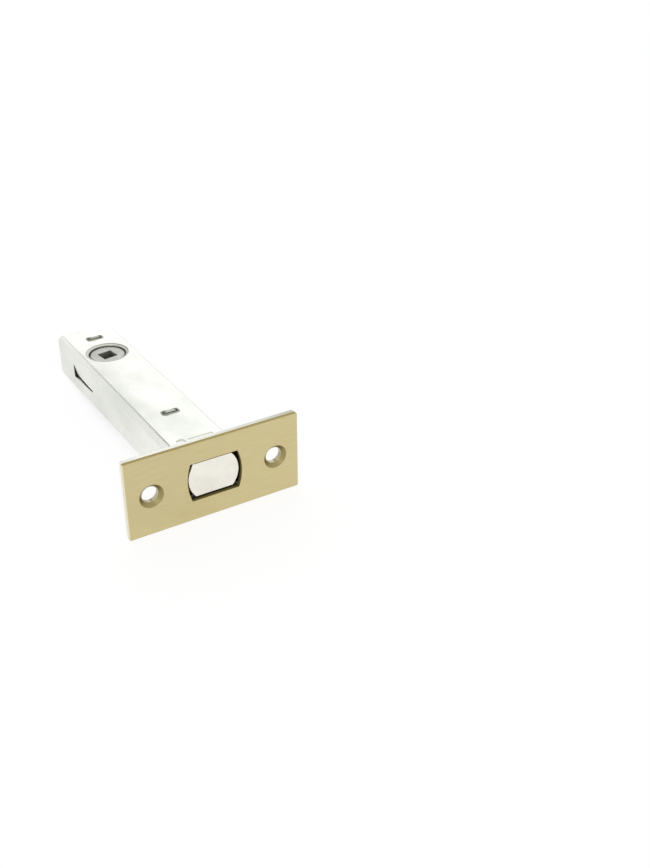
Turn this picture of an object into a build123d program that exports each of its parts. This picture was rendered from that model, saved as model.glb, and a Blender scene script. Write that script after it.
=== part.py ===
"""Tubular deadbolt: a flat-sided bolt in a folded steel case, thrown by a follower with a square hole.

X runs along the forend, Y from the forend's face back into the door, Z along the spindle.
The origin is the centre of the forend's front face. Lengths are in millimetres.
"""
import os
from math import asin, cos, radians, sin, tan

from build123d import *

# Forend: a finished front plate over a plain inner plate
forend_length = 57.0
forend_width = 26.0
forend_plate_thickness = 1.2
forend_corner_radius = 0.6
forend_edge_round = 0.2
inner_forend_thickness = 1.5
inner_forend_inset = 0.1
screw_spacing = 41.0
screw_hole_diameter = 5.2
countersink_angle = 90.0
countersink_step = 0.05

# Case: a folded channel, open below, with a base plate let in between its sides
case_width = 20.3
case_depth = 13.6
sheet = 0.8
bend_radius = 2.0
case_tail = 21.0
base_gap = 0.05
forend_tab_width = 2.4
forend_tab_margin = 0.2
forend_tab_gap = 0.05

# Pressed marks on the case, just behind the forend
strip_length = 8.2
strip_width = 2.6
strip_offset = (1.9, 12.0)
strip_depth = 0.2
dimple_radius = 1.5
dimple_offset = (-4.5, 12.8)
dimple_depth = 0.4
dimple_taper = 20.0

# Lanced corner in the left side, its free corner pressed inwards
lance_hinge_front = (-9.8, -1.2)
lance_corner = (6.7, -2.4)
lance_hinge_rear = (6.7, 1.8)
lance_press = 0.85
lance_slit = 0.55

# Spacers: two cross plates whose tabs stand through dog-bone slots above and below, and are staked there
spacer_thickness = 1.3
spacer_gap = 0.05
front_spacer_place = 31.2
rear_spacer_offset = 13.0
tab_offset = 0.5
tab_length = 2.8
tab_proud = 0.4
slot_side_gap = 0.25
slot_end_gap = 0.55
slot_end_length = 1.0
slot_end_width = 2.6

# Bolt: a round bar with two flats, running in the case
bolt_side_gap = 0.85
bolt_flat_gap = 0.15
bolt_recess = 0.9
bolt_stop_gap = 0.5
bolt_edge_chamfer = 0.25
opening_side_gap = 0.45
opening_flat_gap = 0.55
opening_end_rise = 1.2

# Tail: a flat strip, forked round the follower, with a slot for the follower's finger
tail_thickness = 2.0
tail_width = 8.0
tail_window_gap = 0.25
tail_side_gap = 0.25
tongue_length = 11.0
tongue_gap = 0.05
rivet_diameter = 3.0
rivet_setback = 5.5
rivet_gap = 0.03
fork_bar = 4.5
fork_gap = 1.0
fork_leg_gap = 0.5
fork_ligament = 1.0
fork_lug = 2.2
fork_lead_in = 1.2
fork_inner_round = 1.0
finger_gap = 0.4
finger_end_gap = 0.3

# Follower: turns in collars drawn in the case and the base
follower_backset = 81.0
follower_turn = 90.0
follower_bore_radius = 6.25
running_gap = 0.08
rim_round = 0.4
collar_wall = 0.7
collar_drop = 1.0
follower_recess = 0.8
follower_face_chamfer = 0.4
thrust_gap = 0.2
flange_radius = 7.3
flange_thickness = 0.9
hub_radius = 4.4
cam_corner_radius = 5.3
cam_gap = 0.4
finger_half_width = 1.1
finger_thickness = 2.4
spindle_square = 5.1
spindle_turn = 9.5
spindle_mouth = 0.2

# Detent spring: a leaf that bears on the follower's flats from the rear spacer
spring_thickness = 0.4
spring_height = 6.8
spring_cam_gap = 0.1
spring_land = 4.0
spring_spread = 10.4
spring_foot = 2.2
spring_bend = 0.8

# Sizes that follow from the ones above
forend_stack = forend_plate_thickness + inner_forend_thickness
countersink_flare = forend_plate_thickness * tan(radians(countersink_angle / 2))
countersink_radius = screw_hole_diameter / 2 + countersink_step + countersink_flare
case_end = follower_backset + case_tail
case_length = case_end - forend_stack
case_top = case_depth / 2
inner_width = case_width - 2 * sheet
inner_height = case_depth - 2 * sheet
inner_top = inner_height / 2
forend_tab_height = case_top - bend_radius - forend_tab_margin - forend_tab_width / 2
forend_tab_place = (case_width - sheet) / 2
rear_spacer_place = follower_backset + rear_spacer_offset
front_spacer_face = front_spacer_place - spacer_thickness / 2
rear_spacer_face = rear_spacer_place - spacer_thickness / 2
bolt_radius = inner_width / 2 - bolt_side_gap
bolt_flats = inner_height - 2 * bolt_flat_gap
bolt_rear = front_spacer_face - bolt_stop_gap
rivet_place = (0, bolt_rear - rivet_setback)
tongue_tip = bolt_rear - tongue_length
opening_reach = bolt_radius + opening_side_gap
opening_corner = (opening_reach - opening_end_rise, bolt_flats / 2 + opening_flat_gap)
tail_edge = inner_width / 2 - tail_side_gap
tail_left_edge = -(case_width / 2 - lance_press - sheet - tail_side_gap)
finger_reach = tail_edge - fork_ligament - finger_end_gap
finger_radius = finger_reach - finger_half_width
half_turn = radians(follower_turn / 2)
bolt_throw = 2 * finger_radius * sin(half_turn)
fork_inside = hub_radius + fork_leg_gap
fork_root = follower_backset - hub_radius - fork_gap
fork_front = fork_root - fork_bar
notch_place = follower_backset + finger_radius * sin(half_turn)
notch_half = finger_half_width + finger_gap
fork_end = notch_place + notch_half + fork_lug
follower_place = (0, follower_backset)
follower_half_height = case_top - follower_recess
flange_top = inner_top - collar_drop - thrust_gap
cam_top = flange_top - flange_thickness
cam_bottom = tail_thickness / 2 + cam_gap
spring_face = follower_backset + hub_radius + spring_cam_gap
slot_length = tab_length + 2 * slot_end_gap
slot_width = spacer_thickness + 2 * slot_side_gap


def section(y):
    """A plane across the case at depth y, with +X along the forend and +Y up.

    A negative extrusion from it goes back into the case.
    """
    return Plane.XZ.offset(-y)


def double_d(radius, flats):
    """A circle with two flats, drawn in the sketch that is open."""
    Circle(radius)
    Rectangle(2 * radius, flats, mode=Mode.INTERSECT)


def bolt_opening():
    """The bolt's opening in the forend: two flats joined by shallow arcs, drawn in the sketch that is open."""
    across, up = opening_corner
    with BuildLine() as outline:
        Line((-across, up), (across, up))
        ThreePointArc((across, up), (opening_reach, 0), (across, -up))
        Line((across, -up), (-across, -up))
        ThreePointArc((-across, -up), (-opening_reach, 0), (-across, up))
    make_face(outline.edges())


def dog_bone(y):
    """A staked tab's slot at depth y: a narrow middle between two wider ends."""
    with Locations((tab_offset, y)):
        Rectangle(slot_length, slot_width)
    end_place = (slot_length - slot_end_length) / 2
    with Locations((tab_offset - end_place, y), (tab_offset + end_place, y)):
        Rectangle(slot_end_length, slot_end_width)


def save(part, name):
    """Labels a finished piece and writes it to its own file."""
    part.label = name
    export_step(part, f"parts/{name}.step")


os.makedirs("parts", exist_ok=True)

# Front plate of the forend
with BuildPart() as forend_plate:
    with BuildSketch(section(0)):
        RectangleRounded(forend_length, forend_width, forend_corner_radius)
        with BuildSketch(section(0), mode=Mode.SUBTRACT):
            bolt_opening()
    extrude(amount=-forend_plate_thickness)
    front_face = forend_plate.faces().sort_by(Axis.Y)[0]
    fillet(front_face.outer_wire().edges(), forend_edge_round)
    with Locations(section(0)):
        with GridLocations(screw_spacing, 1, 2, 1):
            CounterSinkHole(
                screw_hole_diameter / 2,
                countersink_radius,
                depth=forend_plate_thickness,
                counter_sink_angle=countersink_angle,
            )
save(forend_plate.part, "forend_plate")

# Inner plate of the forend, slotted for the case's tabs
with BuildPart() as inner_forend:
    with BuildSketch(section(forend_plate_thickness)):
        RectangleRounded(
            forend_length - 2 * inner_forend_inset,
            forend_width - 2 * inner_forend_inset,
            forend_corner_radius,
        )
        with BuildSketch(section(forend_plate_thickness), mode=Mode.SUBTRACT):
            bolt_opening()
        with GridLocations(screw_spacing, 1, 2, 1):
            Circle(screw_hole_diameter / 2, mode=Mode.SUBTRACT)
        with GridLocations(2 * forend_tab_place, 2 * forend_tab_height, 2, 2):
            Rectangle(sheet + 2 * forend_tab_gap, forend_tab_width + 2 * forend_tab_gap, mode=Mode.SUBTRACT)
    extrude(amount=-inner_forend_thickness)
save(inner_forend.part, "inner_forend")

# Case channel: folded top and sides, with tabs into the inner forend
with BuildPart() as case_channel:
    with BuildSketch(section(forend_stack)) as channel_section:
        Rectangle(case_width, case_depth)
        fillet(channel_section.vertices().group_by(Axis.Y)[-1], bend_radius)
        with BuildSketch(section(forend_stack), mode=Mode.SUBTRACT) as channel_inside:
            with Locations((0, -sheet)):
                Rectangle(inner_width, case_depth)
            fillet(channel_inside.vertices().group_by(Axis.Y)[-1], bend_radius - sheet)
    extrude(amount=-case_length)
    with BuildSketch(section(forend_stack)):
        with GridLocations(2 * forend_tab_place, 2 * forend_tab_height, 2, 2):
            Rectangle(sheet, forend_tab_width)
    extrude(amount=inner_forend_thickness)

    # Collar drawn inwards round the follower's hole, with a rounded rim
    with BuildSketch(Plane.XY.offset(inner_top)):
        with Locations(follower_place):
            Circle(follower_bore_radius + collar_wall)
    extrude(amount=-collar_drop)
    with BuildSketch(Plane.XY.offset(case_top)):
        with Locations(follower_place):
            Circle(follower_bore_radius)
    extrude(amount=-(sheet + collar_drop), mode=Mode.SUBTRACT)
    rim = case_channel.edges().filter_by(GeomType.CIRCLE).group_by(Axis.Z)[-1]
    fillet(rim, rim_round)

    # Slots for the spacers' tabs
    with BuildSketch(Plane.XY.offset(case_top)):
        dog_bone(front_spacer_place)
        dog_bone(rear_spacer_place)
    extrude(amount=-sheet, mode=Mode.SUBTRACT)

    # Pressed strip and dimple
    with BuildSketch(Plane.XY.offset(case_top)):
        with Locations(strip_offset):
            Rectangle(strip_length, strip_width)
    extrude(amount=-strip_depth, mode=Mode.SUBTRACT)
    with BuildSketch(Plane.XY.offset(case_top)):
        with Locations(dimple_offset):
            Circle(dimple_radius)
    extrude(amount=-dimple_depth, taper=dimple_taper, mode=Mode.SUBTRACT)

    # Lanced corner: a slit along its bottom and rear, then the flap turned in about its hinge line
    side_plane = Plane(origin=(-case_width / 2, follower_backset, 0), x_dir=(0, 1, 0), z_dir=(1, 0, 0))
    corner_low = (lance_corner[0] + lance_slit, lance_corner[1] - lance_slit)
    with BuildSketch(side_plane):
        with BuildLine():
            Polyline(
                lance_hinge_front,
                (lance_hinge_front[0], lance_hinge_front[1] - lance_slit),
                corner_low,
                (corner_low[0], lance_hinge_rear[1]),
                lance_hinge_rear,
                close=True,
            )
        make_face()
    extrude(amount=sheet, mode=Mode.SUBTRACT)
    hinge = Vector(*lance_hinge_rear) - Vector(*lance_hinge_front)
    reach = Vector(*lance_corner) - Vector(*lance_hinge_front)
    along = reach.dot(hinge.normalized())
    across = reach.cross(hinge.normalized()).length
    flap_tilt = asin(lance_press / across)
    hinge_line = Vector(0, hinge.X, hinge.Y).normalized()
    outward_drop = Vector(1, 0, 0).cross(hinge_line) * -1
    flap_inward = Vector(1, 0, 0) * cos(flap_tilt) - outward_drop * sin(flap_tilt)
    flap_plane = Plane(
        origin=side_plane.from_local_coords(lance_hinge_front),
        x_dir=hinge_line,
        z_dir=flap_inward,
    )
    with BuildSketch(flap_plane):
        with BuildLine():
            Polyline((0, 0), (hinge.length, 0), (along, -across), close=True)
        make_face()
    extrude(amount=sheet)
save(case_channel.part, "case_channel")

# Base plate, let in between the sides, with the lower collar
with BuildPart() as case_base:
    with BuildSketch(Plane.XY.offset(-case_top)):
        with Locations((0, forend_stack + case_length / 2)):
            Rectangle(inner_width - 2 * base_gap, case_length)
        with BuildSketch(Plane.XY.offset(-case_top), mode=Mode.SUBTRACT):
            dog_bone(front_spacer_place)
            dog_bone(rear_spacer_place)
    extrude(amount=sheet)
    with BuildSketch(Plane.XY.offset(-inner_top)):
        with Locations(follower_place):
            Circle(follower_bore_radius + collar_wall)
    extrude(amount=collar_drop)
    with BuildSketch(Plane.XY.offset(-case_top)):
        with Locations(follower_place):
            Circle(follower_bore_radius)
    extrude(amount=sheet + collar_drop, mode=Mode.SUBTRACT)
    rim = case_base.edges().filter_by(GeomType.CIRCLE).group_by(Axis.Z)[0]
    fillet(rim, rim_round)
save(case_base.part, "case_base")


def spacer_outline(sketch):
    """Draws a spacer across the case: a plate rounded under the bends, with a tab above and a tab below."""
    Rectangle(inner_width - 2 * spacer_gap, inner_height)
    fillet(sketch.vertices().group_by(Axis.Y)[-1], bend_radius - sheet + spacer_gap)
    with Locations((tab_offset, 0)):
        Rectangle(tab_length, case_depth + 2 * tab_proud)


# Front spacer, with a window that guides the tail
with BuildPart() as front_spacer:
    with BuildSketch(section(front_spacer_face)) as front_outline:
        spacer_outline(front_outline)
        Rectangle(
            tail_width + 2 * tail_window_gap,
            tail_thickness + 2 * tail_window_gap,
            mode=Mode.SUBTRACT,
        )
    extrude(amount=-spacer_thickness)
save(front_spacer.part, "front_spacer")

# Rear spacer, which carries the detent spring
with BuildPart() as rear_spacer:
    with BuildSketch(section(rear_spacer_face)) as rear_outline:
        spacer_outline(rear_outline)
    extrude(amount=-spacer_thickness)
save(rear_spacer.part, "rear_spacer")

# Bolt head, with a pocket for the tail's tongue and a hole for its rivet
with BuildPart() as bolt_head:
    with BuildSketch(section(bolt_recess)):
        double_d(bolt_radius, bolt_flats)
    extrude(amount=-(bolt_rear - bolt_recess))
    chamfer(bolt_head.faces().sort_by(Axis.Y)[0].edges(), bolt_edge_chamfer)
    with BuildSketch(section(bolt_rear)):
        Rectangle(tail_width + 2 * tongue_gap, tail_thickness + 2 * tongue_gap)
    extrude(amount=tongue_length + tongue_gap, mode=Mode.SUBTRACT)
    with BuildSketch(Plane.XY.offset(-bolt_flats / 2)):
        with Locations(rivet_place):
            Circle(rivet_diameter / 2 + rivet_gap)
    extrude(amount=bolt_flats, mode=Mode.SUBTRACT)
save(bolt_head.part, "bolt_head")

# Rivet through the bolt and the tail
with BuildPart() as bolt_rivet:
    with BuildSketch(Plane.XY.offset(-bolt_flats / 2)):
        with Locations(rivet_place):
            Circle(rivet_diameter / 2)
    extrude(amount=bolt_flats)
save(bolt_rivet.part, "bolt_rivet")

# Tail: a strip that widens to a fork, its right leg slotted for the follower's finger
with BuildPart() as bolt_tail:
    with BuildSketch(Plane.XY.offset(-tail_thickness / 2)) as tail_outline:
        with Locations((0, (tongue_tip + fork_front) / 2)):
            Rectangle(tail_width, fork_front - tongue_tip)
        with BuildLine():
            Polyline(
                (tail_left_edge, fork_front),
                (tail_edge, fork_front),
                (tail_edge, fork_end),
                (fork_inside, fork_end),
                (fork_inside, fork_root),
                (-fork_inside, fork_root),
                (-fork_inside, fork_end),
                (tail_left_edge, fork_end),
                close=True,
            )
        make_face()
        fork_corners = tail_outline.vertices().sort_by_distance((0, fork_root))[:2]
        fillet(fork_corners, fork_inner_round)
        with BuildLine():
            Polyline(
                (fork_inside, notch_place - notch_half - fork_lead_in),
                (fork_inside + fork_lead_in, notch_place - notch_half),
                (finger_reach + finger_end_gap, notch_place - notch_half),
                (finger_reach + finger_end_gap, notch_place + notch_half),
                (fork_inside + fork_lead_in, notch_place + notch_half),
                (fork_inside, notch_place + notch_half + fork_lead_in),
                close=True,
            )
        make_face(mode=Mode.SUBTRACT)
        with Locations(rivet_place):
            Circle(rivet_diameter / 2 + rivet_gap, mode=Mode.SUBTRACT)
    extrude(amount=tail_thickness)
save(bolt_tail.part, "bolt_tail")

# Follower: journals and thrust flanges above and below, detent cams, and the finger between them
with BuildPart() as follower:
    with BuildSketch(Plane.XY.offset(-follower_half_height)):
        with Locations(follower_place):
            Circle(follower_bore_radius - running_gap)
    extrude(amount=follower_half_height - flange_top)
    with BuildSketch(Plane.XY.offset(flange_top)):
        with Locations(follower_place):
            Circle(follower_bore_radius - running_gap)
    extrude(amount=follower_half_height - flange_top)
    with BuildSketch(Plane.XY.offset(-flange_top), Plane.XY.offset(cam_top)):
        with Locations(follower_place):
            Circle(flange_radius)
    extrude(amount=flange_thickness)
    with BuildSketch(Plane.XY.offset(-cam_top), Plane.XY.offset(cam_bottom)):
        with Locations(follower_place):
            Rectangle(2 * hub_radius, 2 * hub_radius)
            Circle(cam_corner_radius, mode=Mode.INTERSECT)
    extrude(amount=cam_top - cam_bottom)
    with BuildSketch(Plane.XY.offset(-cam_bottom)):
        with Locations(follower_place):
            Circle(hub_radius)
    extrude(amount=2 * cam_bottom)
    finger_plane = Plane(
        origin=(0, follower_backset, -finger_thickness / 2),
        x_dir=(cos(half_turn), sin(half_turn), 0),
        z_dir=(0, 0, 1),
    )
    with BuildSketch(finger_plane):
        with Locations((finger_radius / 2, 0)):
            Rectangle(finger_radius, 2 * finger_half_width)
        with Locations((finger_radius, 0)):
            Circle(finger_half_width)
    extrude(amount=finger_thickness)
    journal_rims = follower.edges().filter_by(GeomType.CIRCLE).group_by(Axis.Z)
    chamfer(journal_rims[0] + journal_rims[-1], follower_face_chamfer)
    with BuildSketch(Plane.XY.offset(-follower_half_height)):
        with Locations(Location((0, follower_backset, 0), (0, 0, spindle_turn))):
            Rectangle(spindle_square, spindle_square)
    extrude(amount=2 * follower_half_height, mode=Mode.SUBTRACT)
    for face in (follower.faces().sort_by(Axis.Z)[0], follower.faces().sort_by(Axis.Z)[-1]):
        chamfer(face.inner_wires()[0].edges(), spindle_mouth)
save(follower.part, "follower")

# Detent spring: a hat-shaped leaf, its feet on the rear spacer and its land on the follower's flat
with BuildPart() as detent_spring:
    with BuildLine(Plane.XY.offset(-spring_height / 2)) as leaf:
        FilletPolyline(
            (-spring_spread / 2 - spring_foot, rear_spacer_face),
            (-spring_spread / 2, rear_spacer_face),
            (-spring_land / 2, spring_face + spring_thickness),
            (spring_land / 2, spring_face + spring_thickness),
            (spring_spread / 2, rear_spacer_face),
            (spring_spread / 2 + spring_foot, rear_spacer_face),
            radius=spring_bend,
        )
    with BuildSketch(Plane.XY.offset(-spring_height / 2)):
        with BuildLine():
            add(leaf.line)
            offset(leaf.line, amount=spring_thickness, side=Side.RIGHT)
        make_face()
    extrude(amount=spring_height)
save(detent_spring.part, "detent_spring")

print(f"bolt throw {bolt_throw:.3f} mm over {follower_turn:.0f} degrees of the follower")
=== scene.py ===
"""Finishes, floor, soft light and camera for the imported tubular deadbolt.

The lock lies as it was photographed: on the forend's lower edge and the rear end of its case.
Sizes are written in millimetres, in the part's own frame, and turned to metres where Blender takes them.
"""
from math import pi, radians

import bmesh
import bpy
import numpy as np
from mathutils import Euler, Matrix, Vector


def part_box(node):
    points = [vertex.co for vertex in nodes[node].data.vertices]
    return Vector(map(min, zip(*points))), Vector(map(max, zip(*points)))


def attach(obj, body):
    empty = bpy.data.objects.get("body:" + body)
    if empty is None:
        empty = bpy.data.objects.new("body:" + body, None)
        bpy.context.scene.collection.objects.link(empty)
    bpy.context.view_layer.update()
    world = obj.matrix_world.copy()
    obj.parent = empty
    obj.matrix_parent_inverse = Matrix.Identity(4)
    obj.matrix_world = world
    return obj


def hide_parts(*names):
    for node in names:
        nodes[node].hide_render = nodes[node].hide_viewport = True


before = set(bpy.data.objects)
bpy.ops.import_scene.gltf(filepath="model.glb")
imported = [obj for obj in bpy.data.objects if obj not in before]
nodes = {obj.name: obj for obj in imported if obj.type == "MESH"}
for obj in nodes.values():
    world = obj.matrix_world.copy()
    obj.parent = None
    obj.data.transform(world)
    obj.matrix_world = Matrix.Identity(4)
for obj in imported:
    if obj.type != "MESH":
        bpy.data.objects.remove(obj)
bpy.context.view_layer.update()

MM = 0.001

# The two edges that the lock lies on, as (y, z)
FOREND_EDGE = (1.2, -13.0)
CASE_REAR_EDGE = (102.0, -6.8)

# Places on the lock, and how far round them a layer of painted shade or painted light reaches
LOCK_MIDDLE = (0.0, 45.0, -2.0)
TAB_OFFSET = 0.5
FOLLOWER_AXIS = (0.0, 81.0, 0.0)
DRAWN_RIM = 7.05
BOLT_AXIS = (0.0, 0.0, 0.0)
OPENING_REACH = 12.2
HOLES_REACH = 7.5
LANCED_SLIT = (-10.15, 88.4, -0.6)
SLIT_REACH = 3.2
PRESSED_STRIP = (1.9, 12.0, 6.8)
STRIP_REACH = 4.6

# How far from a forend plate's end its cropped look starts, and where it is full
END_START = 0.3
END_FULL = 0.1

# Values that a grain's noise mostly stays between
GRAIN = (0.3, 0.7)

# Camera: place and turn matched to the photograph's corners; the lens is for a 36 mm sensor
CAMERA_PLACE = (-119.0, -252.1, 177.9)
CAMERA_TURN = (59.437, 0.036, -31.998)
CAMERA_LENS = 45.995
CAMERA_SENSOR = 36.0


def linear(hex_colour):
    """An sRGB hex colour as linear RGBA: a straight line near black, and a 2.4 power curve above it."""
    srgb = np.array([int(hex_colour[i:i + 2], 16) for i in (1, 3, 5)]) / 255
    rgb = np.where(srgb <= 0.04045, srgb / 12.92, ((srgb + 0.055) / 1.055) ** 2.4)
    return (*rgb.tolist(), 1.0)


def per_mm(size):
    """Texture scale, in features per metre, of a pattern whose features are size millimetres across."""
    return 1000.0 / size


def add(tree, kind, inputs=None, **settings):
    """Adds one node with its settings; each of its inputs is linked to a socket or set to a value."""
    node = tree.nodes.new(kind)
    for name, value in settings.items():
        setattr(node, name, value)
    for name, value in (inputs or {}).items():
        if isinstance(value, bpy.types.NodeSocket):
            tree.links.new(value, node.inputs[name])
        else:
            node.inputs[name].default_value = value
    return node


def finish_on(name, *pieces):
    """A new metal on those pieces; returns its tree, its shader and its Object coordinates."""
    material = bpy.data.materials.new(name)
    material.use_nodes = True
    tree = material.node_tree
    tree.nodes.clear()
    shader = add(tree, "ShaderNodeBsdfPrincipled", {"Metallic": 1.0})
    add(tree, "ShaderNodeOutputMaterial", {"Surface": shader.outputs["BSDF"]})
    coords = add(tree, "ShaderNodeTexCoord")
    for piece in pieces:
        piece.data.materials.clear()
        piece.data.materials.append(material)
    return tree, shader, coords.outputs["Object"]


def grain(tree, coords, size):
    """Noise whose grains measure size = (x, y, z) mm, as a socket that mostly stays within GRAIN."""
    scaled = add(tree, "ShaderNodeMapping", {"Vector": coords, "Scale": [per_mm(s) for s in size]})
    noise = add(
        tree,
        "ShaderNodeTexNoise",
        {"Vector": scaled.outputs["Vector"], "Scale": 1.0, "Detail": 2.0, "Roughness": 0.55},
    )
    return noise.outputs["Fac"]


def sharp_edges(tree, radius):
    """Grows from 0 on faces along sharp edges: 1 less the cosine between the normal averaged over radius mm
    and the face's own."""
    rounded = add(tree, "ShaderNodeBevel", {"Radius": radius * MM}, samples=6)
    surface = add(tree, "ShaderNodeNewGeometry")
    pair = {0: rounded.outputs["Normal"], 1: surface.outputs["Normal"]}
    lean = add(tree, "ShaderNodeVectorMath", pair, operation="DOT_PRODUCT")
    return add(tree, "ShaderNodeMath", {0: 1.0, 1: lean.outputs["Value"]}, operation="SUBTRACT").outputs[0]


def painted_crevice_shade(tree, reach):
    """Painted shade: 0 in the open to 1 in gaps and slits, the share of directions blocked within reach mm.
    """
    open_sky = add(tree, "ShaderNodeAmbientOcclusion", {"Distance": reach * MM}, samples=12)
    return add(tree, "ShaderNodeMath", {0: 1.0, 1: open_sky.outputs["AO"]}, operation="SUBTRACT").outputs[0]


def facing(tree, axis):
    """How squarely a surface faces along an axis, either way, from 0 to 1: its normal's part, unsigned."""
    normal = add(tree, "ShaderNodeTexCoord").outputs["Normal"]
    along = add(tree, "ShaderNodeSeparateXYZ", {0: normal}).outputs[axis]
    return add(tree, "ShaderNodeMath", {0: along}, operation="ABSOLUTE").outputs[0]


def sheared_sides(tree):
    """1 on a plate's cut sides and 0 on its two faces: 1 less how squarely they face along Y."""
    return add(tree, "ShaderNodeMath", {0: 1.0, 1: facing(tree, "Y")}, operation="SUBTRACT").outputs[0]


def from_middle(tree, coords, axis):
    """Distance in metres from the lock's middle plane across that axis: the size of that coordinate."""
    along = add(tree, "ShaderNodeSeparateXYZ", {0: coords}).outputs[axis]
    return add(tree, "ShaderNodeMath", {0: along}, operation="ABSOLUTE").outputs[0]


def from_axis(tree, coords, place, across):
    """Distance in metres from a line through place: the offset's length without its part along the line.

    Across holds 0 along the line and 1 along the two axes square to it.
    """
    centre = [-p * MM * a for p, a in zip(place, across)]
    flat = add(tree, "ShaderNodeMapping", {"Vector": coords, "Location": centre, "Scale": across})
    length = add(tree, "ShaderNodeVectorMath", {0: flat.outputs["Vector"]}, operation="LENGTH")
    return length.outputs["Value"]


def within(tree, mask, distance, limit):
    """That mask where that distance is under limit mm, and 0 elsewhere."""
    inside = add(tree, "ShaderNodeMath", {0: distance, 1: limit * MM}, operation="LESS_THAN").outputs[0]
    return add(tree, "ShaderNodeMath", {0: mask, 1: inside}, operation="MULTIPLY").outputs[0]


def dress(tree, shader, base, layers, roughness, relief):
    """Gives the shader its colour, roughness and fine relief.

    A layer (mask, low, high, amount, colour) covers what is below it with its colour, from nothing where
    the mask is low to amount where it is high. Roughness is (mask, least, most), over the range GRAIN.
    Relief is (mask, strength, height in mm).
    """
    tone = linear(base)
    for mask, low, high, amount, colour in layers:
        span = {"Value": mask, "From Min": low, "From Max": high, "To Min": 0.0, "To Max": amount}
        cover = add(tree, "ShaderNodeMapRange", span)
        inputs = {0: cover.outputs["Result"], 6: tone, 7: linear(colour)}
        tone = add(tree, "ShaderNodeMix", inputs, data_type="RGBA").outputs[2]
    tree.links.new(tone, shader.inputs["Base Color"])
    mask, least, most = roughness
    span = {"Value": mask, "From Min": GRAIN[0], "From Max": GRAIN[1], "To Min": least, "To Max": most}
    tree.links.new(add(tree, "ShaderNodeMapRange", span).outputs["Result"], shader.inputs["Roughness"])
    mask, strength, height = relief
    bump = add(tree, "ShaderNodeBump", {"Height": mask, "Strength": strength, "Distance": height * MM})
    tree.links.new(bump.outputs["Normal"], shader.inputs["Normal"])


def closed_grid(points, outward=1):
    """Points and faces of a ring-shaped skin: a grid of (around, section, xyz) in mm, closed both ways.

    Faces point out where section turns from the outer side upwards, or with outward -1 downwards.
    """
    around, section = points.shape[:2]
    row, column = np.meshgrid(np.arange(around), np.arange(section), indexing="ij")
    next_row, next_column = (row + 1) % around, (column + 1) % section
    corners = [(row, column), (next_row, column), (next_row, next_column), (row, next_column)]
    faces = np.stack([r * section + c for r, c in corners[::outward]], axis=-1)
    return points.reshape(-1, 3) * MM, faces.reshape(-1, 4)


def turned_ring(centre, section):
    """A closed ring, turned about the vertical at centre.

    Its section is a loop of (radius, z) points in mm, from the outer side upwards.
    """
    steps = 128
    t = np.linspace(0.0, 2 * pi, steps, endpoint=False)[:, None]
    radius, z = np.asarray(section).T[:, None, :]
    x = centre[0] + radius * np.cos(t)
    y = centre[1] + radius * np.sin(t)
    return closed_grid(np.stack([x, y, z + 0 * t], axis=-1))


def mesh_piece(name, points, faces):
    """A new smooth-shaded piece of those points and faces, linked to the scene."""
    mesh = bpy.data.meshes.new(name)
    mesh.from_pydata(points, [], faces)
    mesh.shade_smooth()
    piece = bpy.data.objects.new(name, mesh)
    bpy.context.scene.collection.objects.link(piece)
    return piece


def spacer_middle(spacer):
    """The depth in mm of a spacer's middle plane."""
    low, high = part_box(spacer)
    return (low[1] + high[1]) / 2 / MM


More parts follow.
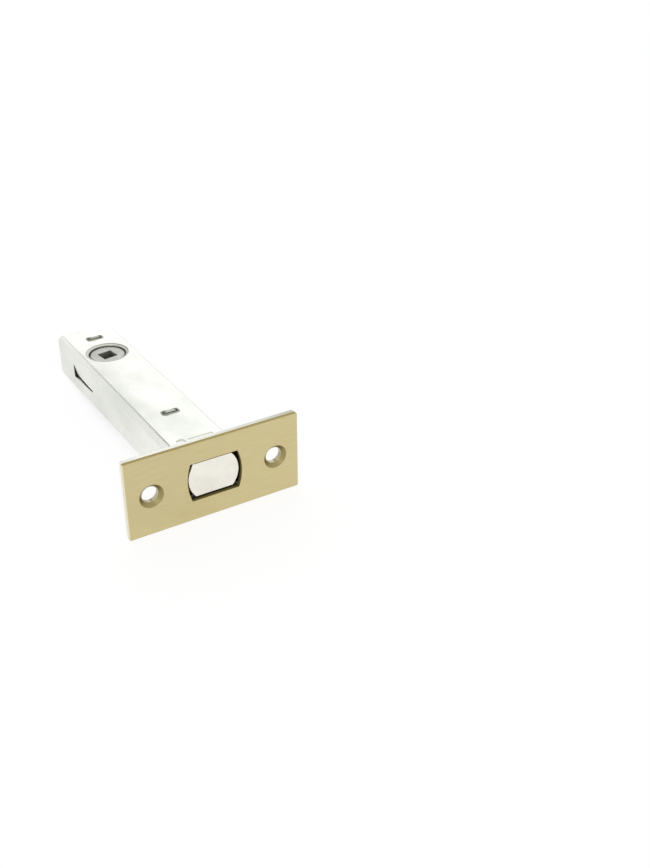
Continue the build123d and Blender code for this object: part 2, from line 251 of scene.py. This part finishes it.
def struck_case():
    """The case channel with what press and punch left: a rolled rim round the follower, dented slot ends.

    A copy of the channel's mesh, merged, has closed rings cut away. The rim's ring is bounded by a quarter
    circle that leaves the top level and meets the hole nearly upright. Each slot end's ring is a shallow
    round dent, whose small core falls in the open slot. Edges that turn by crease degrees or more stay
    sharp. The attribute struck grows from 0 at the top to 1 at the dents' depth, near the slots only.
    """
    spacers = ("front_spacer", "rear_spacer")
    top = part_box("case_channel")[1][2] / MM
    hole_radius, rim_radius, overlap = 6.25, 1.05, 0.05
    end_spread, end_radius, end_depth, end_core = 1.35, 1.25, 0.6, 0.05
    lift, clear_above, clear_outside, clear_inside = 0.05, 0.5, 1.0, 0.5
    slot_margin, slot_reach = 0.1, 1.4
    merge_distance, crease = 0.001, 30.0
    rim_steps = 13

    turn = np.linspace(0.0, pi / 2, rim_steps)
    rim_centre = hole_radius - overlap + rim_radius
    rim_reach = rim_centre - rim_radius * np.sin(turn)
    rim_height = top - rim_radius * (1 - np.cos(turn))
    rim = np.stack([rim_reach, rim_height], axis=1)[::-1]
    outside, inside, above = rim_centre + clear_outside, hole_radius - clear_inside, top + clear_above
    waste = [(outside, top + lift), (outside, above), (inside, above), (inside, top - rim_radius)]
    shells = [turned_ring(FOLLOWER_AXIS, [*rim, *waste])]
    bottom = top - end_depth
    end = [(end_radius, bottom), (end_radius, above), (end_core, above), (end_core, bottom)]
    for spacer in spacers:
        for spread in (-end_spread, end_spread):
            shells.append(turned_ring((TAB_OFFSET + spread, spacer_middle(spacer)), end))
    starts = np.cumsum([0] + [len(points) for points, faces in shells[:-1]])
    points = np.concatenate([points for points, faces in shells])
    faces = np.concatenate([faces + start for (points, faces), start in zip(shells, starts)])
    cutter = mesh_piece("case_cutter", points, faces)

    merged = bmesh.new()
    merged.from_mesh(nodes["case_channel"].data)
    bmesh.ops.remove_doubles(merged, verts=merged.verts, dist=merge_distance * MM)
    mesh = bpy.data.meshes.new("struck_case")
    merged.to_mesh(mesh)
    merged.free()
    case = bpy.data.objects.new("struck_case", mesh)
    bpy.context.scene.collection.objects.link(case)
    cut = case.modifiers.new("press_and_punch", "BOOLEAN")
    cut.operation = "DIFFERENCE"
    cut.object = cutter
    case.data = bpy.data.meshes.new_from_object(case.evaluated_get(bpy.context.evaluated_depsgraph_get()))
    case.modifiers.clear()
    bpy.data.objects.remove(cutter)

    case.data.shade_smooth()
    creased = bmesh.new()
    creased.from_mesh(case.data)
    creased.normal_update()
    for edge in creased.edges:
        edge.smooth = edge.calc_face_angle(0.0) < radians(crease)
    creased.to_mesh(case.data)
    creased.free()
    even = case.modifiers.new("even_shading", "WEIGHTED_NORMAL")
    even.keep_sharp = True

    place = np.empty(3 * len(case.data.vertices))
    case.data.vertices.foreach_get("co", place)
    x, y, z = place.reshape(-1, 3).T / MM
    from_spacer = np.min([np.abs(y - spacer_middle(spacer)) for spacer in spacers], axis=0)
    slot_half = end_spread + end_radius + slot_margin
    near_slot = (np.abs(x - TAB_OFFSET) < slot_half) & (from_spacer < slot_reach)
    depth = np.where(near_slot, np.clip((top - z) / end_depth, 0.0, 1.0), 0.0)
    # The case's plating darkens with this depth, as painted shade in the dents.
    case.data.attributes.new("struck", "FLOAT", "POINT").data.foreach_set("value", depth)
    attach(case, "case")
    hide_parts("case_channel")
    return case


def slot_burr(name, spacer, face, side):
    """The lip that the punch raised round a staked tab's slot, on the plate whose face is at z = face.

    A closed ring. Its path is a rounded rectangle, the superellipse x^4 + y^4 = 1 stretched to half_x and
    half_y, with y drawn in by the share waist (1 - x^2) towards the middle of its length. Its section is an
    ellipse half sunk in the plate, which widens towards the forend. The ellipse's height wavers as a sine,
    waves times round the path. Side is 1 above the case and -1 below it.
    """
    half_x, half_y, squareness = 2.75, 1.5, 4.0
    waist = 0.25
    narrow, wide = 0.2, 0.42
    height, waver, waves, first_wave = 0.2, 0.3, 3, 1
    along, around = 120, 12
    t = np.linspace(0.0, 2 * pi, along, endpoint=False)[:, None]
    v = np.linspace(0.0, 2 * pi, around, endpoint=False)[None, :]
    reach = (np.abs(np.cos(t)) ** squareness + np.abs(np.sin(t)) ** squareness) ** (-1 / squareness)
    unit_x, unit_y = reach * np.cos(t), reach * np.sin(t)
    out_x = unit_x ** (squareness - 1) / half_x
    out_y = unit_y ** (squareness - 1) / half_y
    length = np.hypot(out_x, out_y)
    width = narrow + (wide - narrow) * (1 - np.sin(t)) / 2
    x = TAB_OFFSET + half_x * unit_x + out_x / length * width * np.cos(v)
    waisted = half_y * unit_y * (1 - waist * (1 - unit_x ** 2))
    y = spacer_middle(spacer) + waisted + out_y / length * width * np.cos(v)
    z = face + side * height * (1 + waver * np.sin(waves * t + first_wave)) * np.sin(v)
    burr = mesh_piece(name, *closed_grid(np.stack([x, y, z], axis=-1), side))
    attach(burr, "case")
    return burr


def tab_head(name, spacer, face, side):
    """A spacer tab's end, spread over its slot by the staking punch; its plate's face is at z = face.

    A closed tube along x: at u, from -tip to tip along it, its section is a rounded rectangle, the
    superellipse y^4 + z^4 = 1. The half width grows from waist to waist + flare with u^2, and both ends
    close as the root of 1 - u^8. The crown falls by dent with u^4, from the middle to the punch marks at
    both ends. Side is 1 above the case and -1 below it.
    """
    half_x, waist, flare, tip = 2.3, 0.72, 0.4, 0.99
    crown, dent, foot, squareness = 0.44, 0.34, 0.5, 4.0
    along, around = 41, 24
    u = np.linspace(-tip, tip, along)[:, None]
    v = np.linspace(0.0, 2 * pi, around, endpoint=False)[None, :]
    reach = (np.abs(np.cos(v)) ** squareness + np.abs(np.sin(v)) ** squareness) ** (-1 / squareness)
    closing = np.sqrt(1 - u ** 8)
    height = crown - dent * u ** 4
    x = TAB_OFFSET + half_x * u + 0 * v
    y = spacer_middle(spacer) + (waist + flare * u ** 2) * closing * reach * np.cos(v)
    z = face + side * ((height - foot) / 2 + (height + foot) / 2 * closing * reach * np.sin(v))
    points, quads = closed_grid(np.stack([x, y, z], axis=-1), -side)
    first, last = np.arange(around), np.arange(len(points) - around, len(points))
    caps = [first[::-side].tolist(), last[::side].tolist()]
    head = mesh_piece(name, points, [*quads[:-around].tolist(), *caps])
    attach(head, "case")
    return head


def at_each_slot(piece):
    """That piece at both spacers' slots, on the case's top and on its base."""
    top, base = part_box("case_channel")[1][2] / MM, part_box("case_base")[0][2] / MM
    return [
        piece(f"{place}_{piece.__name__}_{plate}", f"{place}_spacer", face, side)
        for place in ("front", "rear")
        for plate, face, side in (("top", top, 1), ("base", base, -1))
    ]


def satin_brass():
    """Brass plate, satin-brushed along the forend, with sheared sides left raw.

    It gives a soft khaki gold with a fine straight grain and broad faint tone changes, darker along its
    sharp edges. The long sides and the countersinks are olive and the cropped ends pale; painted shade
    darkens the countersinks further and darkens the bolt's opening and the gaps.
    The real grain is about 0.05 mm; it is drawn at 0.3 mm, which is as fine as the picture can show.
    """
    tree, shader, coords = finish_on("satin_brushed_brass", nodes["forend_plate"])
    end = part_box("forend_plate")[1][0]
    brushing = grain(tree, coords, (7.0, 7.0, 0.3))
    pierced = within(tree, sheared_sides(tree), from_middle(tree, coords, "Z"), HOLES_REACH)
    from_bolt = from_axis(tree, coords, BOLT_AXIS, (1, 0, 1))
    opening = within(tree, sheared_sides(tree), from_bolt, OPENING_REACH)
    layers = [
        (brushing, *GRAIN, 0.8, "#d8cda2"),
        (grain(tree, coords, (14.0, 14.0, 14.0)), *GRAIN, 0.35, "#d0bf8a"),
        (sharp_edges(tree, 0.8), 0.02, 0.29, 0.5, "#ab9d6a"),
        (sheared_sides(tree), 0.05, 0.3, 1.0, "#b9aa77"),
        # Painted shade: the countersinks a darker olive.
        (pierced, 0.05, 0.3, 1.0, "#9f9265"),
        (from_middle(tree, coords, "X"), end - END_START * MM, end - END_FULL * MM, 1.0, "#efe9d4"),
        # Painted shade: the bolt's opening dark olive, and the gaps darker still.
        (opening, 0.2, 0.6, 1.0, "#8a7e4f"),
        (painted_crevice_shade(tree, 1.0), 0.75, 1.0, 0.6, "#5a5236"),
    ]
    dress(tree, shader, "#cdc090", layers, (sheared_sides(tree), 0.4, 0.85), (brushing, 0.2, 0.02))


def bright_zinc(case):
    """Bright zinc plate on cold-rolled strip, folded after rolling.

    It gives a pale silver, faintly green in its passivation clouds, with rolling lines along the case.
    Painted
    light brightens it towards both ends: near the front, more on the sides there, and on the top's rear
    end.
    It is darker along edges. Painted shade draws the follower's rim as a dull line round a dark gap and
    darkens the dents, the slit and the gaps; painted light brightens the pressed strip's walls.
    Rolling lines of about 0.1 mm are drawn at 0.45 mm so that they show.
    """
    tree, shader, coords = finish_on("bright_zinc_plate", case, nodes["case_channel"], nodes["case_base"])
    rolling = grain(tree, coords, (0.45, 28.0, 0.45))
    clouds = grain(tree, coords, (11.0, 17.0, 11.0))
    radius = from_axis(tree, coords, FOLLOWER_AXIS, (1, 1, 0))
    apart = add(tree, "ShaderNodeMath", {0: radius, 1: DRAWN_RIM * MM}, operation="SUBTRACT").outputs[0]
    off_rim = add(tree, "ShaderNodeMath", {0: apart}, operation="ABSOLUTE").outputs[0]
    along = from_middle(tree, coords, "Y")
    # Facing along Z is 1 on the top and 0 on the sides. Adding it takes the top out of a range of
    # millimetres, and multiplying by it takes the sides out.
    pair = {0: along, 1: facing(tree, "Z")}
    painted_light_front_sides = add(tree, "ShaderNodeMath", pair, operation="ADD").outputs[0]
    painted_light_rear_top = add(tree, "ShaderNodeMath", pair, operation="MULTIPLY").outputs[0]
    struck = add(tree, "ShaderNodeAttribute", attribute_name="struck")
    from_slit = from_axis(tree, coords, LANCED_SLIT, (0, 1, 1))
    slit = within(tree, facing(tree, "Y"), from_slit, SLIT_REACH)
    from_strip = from_axis(tree, coords, PRESSED_STRIP, (1, 1, 0))
    strip = within(tree, facing(tree, "Y"), from_strip, STRIP_REACH)
    layers = [
        (clouds, *GRAIN, 1.0, "#e0e3db"),
        # Painted light: brighter towards the front end, more on the sides near the front, and on the top's
        # rear end.
        (along, 36.0 * MM, 10.0 * MM, 0.3, "#f6f6f0"),
        (painted_light_front_sides, 52.0 * MM, 20.0 * MM, 0.85, "#f8f8f2"),
        (painted_light_rear_top, 66.0 * MM, 96.0 * MM, 0.8, "#fbfbf6"),
        (grain(tree, coords, (1.6, 1.6, 1.6)), *GRAIN, 0.3, "#d6d9d3"),
        (sharp_edges(tree, 0.2), 0.07, 0.25, 0.5, "#b4b7b0"),
        # Painted light on the pressed strip's walls.
        (strip, 0.3, 0.9, 1.0, "#fbfbf6"),
        # Painted shade: a dull line round the follower's rim, its dark gap, the dents, the slit and the
        # gaps.
        (off_rim, 0.5 * MM, 0.15 * MM, 0.85, "#999a8c"),
        (radius, 6.6 * MM, 6.3 * MM, 0.9, "#4f4e3c"),
        (struck.outputs["Fac"], 0.1, 0.6, 1.0, "#6d7064"),
        (slit, 0.4, 0.8, 1.0, "#5c5f55"),
        (painted_crevice_shade(tree, 6.0), 0.72, 0.9, 0.95, "#33352e"),
    ]
    dress(tree, shader, "#edede7", layers, (clouds, 0.26, 0.40), (rolling, 0.2, 0.015))


def sheared_zinc():
    """Bright zinc plate on a blanked plate.

    It gives the same pale silver on the faces. The long sides are bright at the left, and painted shade
    darkens them to grey towards the right. Both ends are bright. The pierced walls are raw and brownish,
    with painted shade on them, and painted shade darkens the gaps.
    """
    tree, shader, coords = finish_on("zinc_plated_blank", nodes["inner_forend"])
    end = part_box("inner_forend")[1][0]
    clouds = grain(tree, coords, (11.0, 11.0, 11.0))
    drag = grain(tree, coords, (0.5, 6.0, 0.5))
    pierced = within(tree, sheared_sides(tree), from_middle(tree, coords, "Z"), HOLES_REACH)
    left_end = add(tree, "ShaderNodeMapping", {"Vector": coords, "Location": (end, 0.0, 0.0)})
    along = {0: from_middle(tree, left_end.outputs["Vector"], "X"), 1: sheared_sides(tree)}
    painted_shade_along_sides = add(tree, "ShaderNodeMath", along, operation="MULTIPLY").outputs[0]
    layers = [
        (clouds, *GRAIN, 1.0, "#dfe3dc"),
        (sheared_sides(tree), 0.3, 0.9, 1.0, "#f2f2ec"),
        # Painted shade: the long sides darker towards the right.
        (painted_shade_along_sides, 5.0 * MM, 57.0 * MM, 0.9, "#9d9d90"),
        (drag, *GRAIN, 0.15, "#b9bbb2"),
        (sharp_edges(tree, 0.3), 0.05, 0.25, 0.6, "#b3b4a3"),
        # The pierced walls: raw brownish metal with painted shade.
        (pierced, 0.3, 0.9, 1.0, "#bab096"),
        (from_middle(tree, coords, "X"), end - END_START * MM, end - END_FULL * MM, 1.0, "#f7f7f2"),
        # Painted shade in the gaps.
        (painted_crevice_shade(tree, 6.0), 0.72, 0.9, 0.95, "#726a52"),
    ]
    dress(tree, shader, "#e6e8e3", layers, (clouds, 0.28, 0.42), (drag, 0.2, 0.02))


def staked_steel(heads):
    """Mild steel, crushed and spread by the staking punch.

    It gives dull grey-green tab ends, pitted and darker than the plating round them. Painted shade
    darkens the sides that face along the case, both ends of each head and the gaps.
    """
    tree, shader, coords = finish_on("staked_mild_steel", *heads)
    pits = grain(tree, coords, (0.5, 0.5, 0.5))
    on_tab = add(tree, "ShaderNodeMapping", {"Vector": coords, "Location": (-TAB_OFFSET * MM, 0.0, 0.0)})
    along_tab = from_middle(tree, on_tab.outputs["Vector"], "X")
    layers = [
        # Light tops over the dark base colour, which is painted shade on the sides facing along the case.
        (sheared_sides(tree), 0.3, 0.9, 1.0, "#c6c9bc"),
        (pits, *GRAIN, 0.4, "#7d8075"),
        # Painted shade towards both ends of each head, and in the gaps.
        (along_tab, 1.0 * MM, 1.9 * MM, 0.85, "#5f6257"),
        (painted_crevice_shade(tree, 0.8), 0.5, 0.85, 0.5, "#3a3b35"),
    ]
    dress(tree, shader, "#4a4c45", layers, (pits, 0.4, 0.6), (pits, 0.5, 0.05))


def dull_zinc():
    """Thin zinc plate on cold-rolled strip, left dull inside the case.

    It gives a flat mid grey with level rolling lines, darker clouds and slightly brighter sheared sides.
    Rolling lines of about 0.05 mm are drawn at 0.4 mm so that they show.
    """
    tree, shader, coords = finish_on("dull_zinc_plate", nodes["front_spacer"], nodes["rear_spacer"])
    rolling = grain(tree, coords, (14.0, 14.0, 0.4))
    clouds = grain(tree, coords, (5.0, 5.0, 5.0))
    layers = [
        (rolling, *GRAIN, 1.0, "#c4c6bf"),
        (clouds, *GRAIN, 0.6, "#9c9e97"),
        (sheared_sides(tree), 0.3, 0.9, 0.8, "#cdcfc8"),
    ]
    dress(tree, shader, "#b2b4ad", layers, (clouds, 0.3, 0.5), (rolling, 0.25, 0.02))


def struck_zinc(burrs):
    """Zinc plate scuffed by the staking punch.

    It gives a rough grey-green lip, duller than the smooth plating that it rises from, with painted shade
    in its gaps.
    """
    tree, shader, coords = finish_on("struck_zinc_plate", *burrs)
    scuffs = grain(tree, coords, (0.4, 0.4, 0.4))
    layers = [
        (scuffs, *GRAIN, 0.9, "#787b6e"),
        # Painted shade in the gaps.
        (painted_crevice_shade(tree, 0.8), 0.5, 0.85, 0.7, "#4a4b44"),
    ]
    dress(tree, shader, "#b9bcae", layers, (scuffs, 0.35, 0.55), (scuffs, 0.5, 0.05))


def bright_nickel():
    """Bright nickel plate on a drawn bar.

    It gives a warm white metal, nearly a mirror, with faint drawing lines and hand marks, and painted shade
    in its gaps.
    """
    tree, shader, coords = finish_on("bright_nickel_plate", nodes["bolt_head"])
    drawing = grain(tree, coords, (0.5, 30.0, 0.5))
    marks = grain(tree, coords, (5.0, 5.0, 5.0))
    layers = [
        (marks, *GRAIN, 0.8, "#ece9df"),
        (sharp_edges(tree, 0.25), 0.05, 0.22, 0.8, "#f8f5ee"),
        # Painted shade in the gaps round the bolt.
        (painted_crevice_shade(tree, 1.2), 0.8, 0.95, 0.9, "#33312c"),
    ]
    dress(tree, shader, "#f4f1e7", layers, (marks, 0.16, 0.30), (drawing, 0.15, 0.01))


def die_cast_zinc():
    """Die-cast zinc, as it leaves the mould.

    It gives a flat mid grey with a fine pebbled skin and faint rings where the spindle hole was trimmed.
    Painted shade darkens it near the case's rim, in tight gaps and in the square hole.
    """
    tree, shader, coords = finish_on("die_cast_zinc", nodes["follower"])
    from_spindle = [-c * MM for c in FOLLOWER_AXIS]
    centre = add(tree, "ShaderNodeMapping", {"Vector": coords, "Location": from_spindle})
    ring_spacing = 1.1
    # At scale 1 a wave texture's rings are pi / 10 apart
    ring_scale = pi / 10 * per_mm(ring_spacing)
    rings = add(
        tree,
        "ShaderNodeTexWave",
        {"Vector": centre.outputs["Vector"], "Scale": ring_scale, "Distortion": 1.5},
        wave_type="RINGS",
        rings_direction="Z",
    )
    pebbles = grain(tree, coords, (0.5, 0.5, 0.5))
    layers = [
        (grain(tree, coords, (4.0, 4.0, 4.0)), *GRAIN, 1.0, "#b9bab4"),
        (rings.outputs["Fac"], 0.0, 1.0, 0.35, "#dadbd5"),
        (sharp_edges(tree, 0.25), 0.05, 0.22, 0.6, "#d4d5cf"),
        # Painted shade: near the case's rim, in tight gaps and in the square hole.
        (painted_crevice_shade(tree, 2.0), 0.1, 0.45, 0.6, "#8d8e8a"),
        (painted_crevice_shade(tree, 0.5), 0.6, 0.9, 0.8, "#1f201d"),
        (painted_crevice_shade(tree, 8.0), 0.45, 0.65, 0.95, "#a3a59f"),
    ]
    dress(tree, shader, "#cdcec8", layers, (pebbles, 0.42, 0.58), (pebbles, 0.3, 0.03))


def oiled_steel():
    """Stamped mild steel, left bare and oiled.

    It gives a dark silver with straight stamping drag along the strip and brown-grey oil patches.
    """
    tree, shader, coords = finish_on("oiled_mild_steel", nodes["bolt_tail"], nodes["bolt_rivet"])
    drag = grain(tree, coords, (0.4, 15.0, 0.4))
    oil = grain(tree, coords, (6.0, 9.0, 6.0))
    layers = [
        (drag, *GRAIN, 1.0, "#8d8e8a"),
        (oil, *GRAIN, 0.6, "#76726a"),
        (sharp_edges(tree, 0.25), 0.05, 0.22, 1.0, "#bcbdb9"),
    ]
    dress(tree, shader, "#a3a4a0", layers, (oil, 0.22, 0.45), (drag, 0.25, 0.02))


def blued_spring_steel():
    """Hardened spring strip, blued by its tempering.

    It gives a dark blue-grey with straw tints and bright edges.
    """
    tree, shader, coords = finish_on("blued_spring_steel", nodes["detent_spring"])
    lines = grain(tree, coords, (10.0, 10.0, 0.4))
    layers = [
        (grain(tree, coords, (4.0, 4.0, 3.0)), *GRAIN, 1.0, "#6b675f"),
        (sharp_edges(tree, 0.2), 0.05, 0.22, 1.0, "#9aa0a8"),
    ]
    dress(tree, shader, "#4f5a70", layers, (lines, 0.22, 0.34), (lines, 0.2, 0.01))


def seen_strength(tree, seen, unseen):
    """A light's strength: seen for rays that show it, straight, off metal or through glass, else unseen."""
    path = add(tree, "ShaderNodeLightPath")
    shown = path.outputs["Is Camera Ray"]
    for other in ("Is Glossy Ray", "Is Transmission Ray"):
        pair = {0: shown, 1: path.outputs[other]}
        shown = add(tree, "ShaderNodeMath", pair, operation="MAXIMUM").outputs[0]
    span = {"Value": shown, "To Min": unseen, "To Max": seen}
    return add(tree, "ShaderNodeMapRange", span).outputs["Result"]


def white_studio():
    """A white room: strength 1 where it is seen, and a plain soft level where it lights the lock."""
    room_light = 0.65
    world = bpy.data.worlds.new("white_studio")
    bpy.context.scene.world = world
    world.use_nodes = True
    tree = world.node_tree
    tree.nodes.clear()
    strength = seen_strength(tree, 1.0, room_light)
    background = add(tree, "ShaderNodeBackground", {"Color": linear("#ffffff"), "Strength": strength})
    add(tree, "ShaderNodeOutputWorld", {"Surface": background.outputs["Background"]})


def stage_sheet(name, corners, colour):
    """A flat four-cornered stage sheet of one matt colour; returns the sheet, its tree and its shader."""
    mesh = bpy.data.meshes.new(name)
    mesh.from_pydata((np.asarray(corners) * MM).tolist(), [], [(0, 1, 2, 3)])
    sheet = bpy.data.objects.new(name, mesh)
    bpy.context.scene.collection.objects.link(sheet)
    material = bpy.data.materials.new(name)
    material.use_nodes = True
    tree = material.node_tree
    tree.nodes.clear()
    mesh.materials.append(material)
    return sheet, tree, add(tree, "ShaderNodeBsdfDiffuse", {"Color": linear(colour)})


def pale_floor():
    """A flat white paper: z rises along y from the forend's lower edge to the case's rear lower edge.

    Part of its white is its own where it is seen, so that its shadow stays as faint as in the photograph.
    """
    half = 3000.0
    own_white = 0.78
    rise = (CASE_REAR_EDGE[1] - FOREND_EDGE[1]) / (CASE_REAR_EDGE[0] - FOREND_EDGE[0])
    x = np.array([-half, half, half, -half])
    y = np.array([-half, -half, half, half])
    z = FOREND_EDGE[1] + rise * (y - FOREND_EDGE[0])
    corners = np.stack([x, y, z], axis=1)
    _, tree, paper = stage_sheet("white_paper", corners, "#979797")
    strength = seen_strength(tree, own_white, 0.0)
    white = add(tree, "ShaderNodeEmission", {"Color": linear("#ffffff"), "Strength": strength})
    both = add(tree, "ShaderNodeAddShader", {0: paper.outputs["BSDF"], 1: white.outputs["Emission"]})
    add(tree, "ShaderNodeOutputMaterial", {"Surface": both.outputs["Shader"]})


def dark_flag():
    """A dark studio flag behind the lock, seen only in the metal: it draws the line along the left bend."""
    place = np.array([70.0, 483.0, 402.0])
    across = np.array([1.0, -0.16, 0.0])
    up = np.array([-0.11, -0.67, 0.74])
    half_width, half_height = 75.0, 150.0
    signs = np.array([[-1, -1], [1, -1], [1, 1], [-1, 1]])
    corners = place + signs[:, :1] * half_width * across + signs[:, 1:] * half_height * up
    flag, tree, cloth = stage_sheet("dark_flag", corners, "#1c1c1c")
    add(tree, "ShaderNodeOutputMaterial", {"Surface": cloth.outputs["BSDF"]})
    flag.visible_camera = False
    flag.visible_diffuse = False
    flag.visible_shadow = False


def softbox(name, place, size, brightness):
    """A square area lamp of that size, aimed at the lock; its power follows from brightness and area."""
    lamp = bpy.data.lights.new(name, "AREA")
    lamp.shape = "SQUARE"
    lamp.size = size * MM
    lamp.energy = brightness * pi * (size * MM) ** 2
    holder = bpy.data.objects.new(name, lamp)
    holder.location = Vector(place) * MM
    aim = (Vector(LOCK_MIDDLE) - Vector(place)) * MM
    holder.rotation_euler = aim.to_track_quat("-Z", "Y").to_euler()
    holder.visible_camera = False
    bpy.context.scene.collection.objects.link(holder)


def camera():
    """The photograph's viewpoint."""
    view = bpy.data.cameras.new("photograph_view")
    view.sensor_width = CAMERA_SENSOR
    view.lens = CAMERA_LENS
    view.clip_start = 0.01
    view.clip_end = 20.0
    holder = bpy.data.objects.new("photograph_view", view)
    holder.location = Vector(CAMERA_PLACE) * MM
    holder.rotation_euler = Euler([radians(a) for a in CAMERA_TURN])
    bpy.context.scene.collection.objects.link(holder)
    bpy.context.scene.camera = holder


satin_brass()
bright_zinc(struck_case())
sheared_zinc()
dull_zinc()
staked_steel(at_each_slot(tab_head))
struck_zinc(at_each_slot(slot_burr))
bright_nickel()
die_cast_zinc()
oiled_steel()
blued_spring_steel()
white_studio()
pale_floor()
dark_flag()
softbox("back_softbox", place=(420.0, 900.0, 620.0), size=900.0, brightness=0.47)
softbox("front_softbox", place=(-700.0, -650.0, 900.0), size=700.0, brightness=0.8)
camera()

bpy.context.scene.view_settings.view_transform = "Standard"
